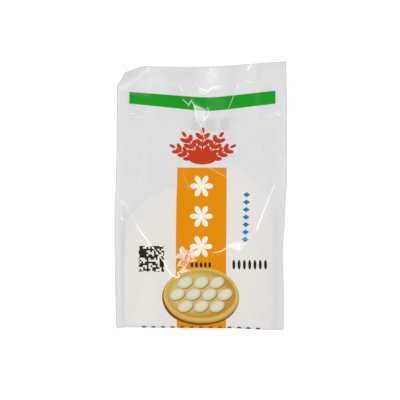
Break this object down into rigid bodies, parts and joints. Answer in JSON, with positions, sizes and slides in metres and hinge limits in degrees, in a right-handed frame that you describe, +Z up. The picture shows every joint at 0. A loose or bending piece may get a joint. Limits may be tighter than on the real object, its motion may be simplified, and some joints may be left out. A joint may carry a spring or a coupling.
{
  "type": "bag of flour",
  "caption": "Upright flour bag of milky plastic film with folded side panels, squared off by its flour and closed above it like a wedge by a flat top weld.",
  "frame": {"origin": "middle of the base, on the surface that the bag stands on", "axes": "+Z up, -Y towards the printed front, +X to the right of someone looking at the front"},
  "size_m": [0.1832, 0.0692, 0.286],
  "materials": {
    "film": "semi-gloss milky polyethylene film, printed in flat colours"
  },
  "bodies": {
    "root": {"flour_bag": "film"}
  },
  "joints": []
}
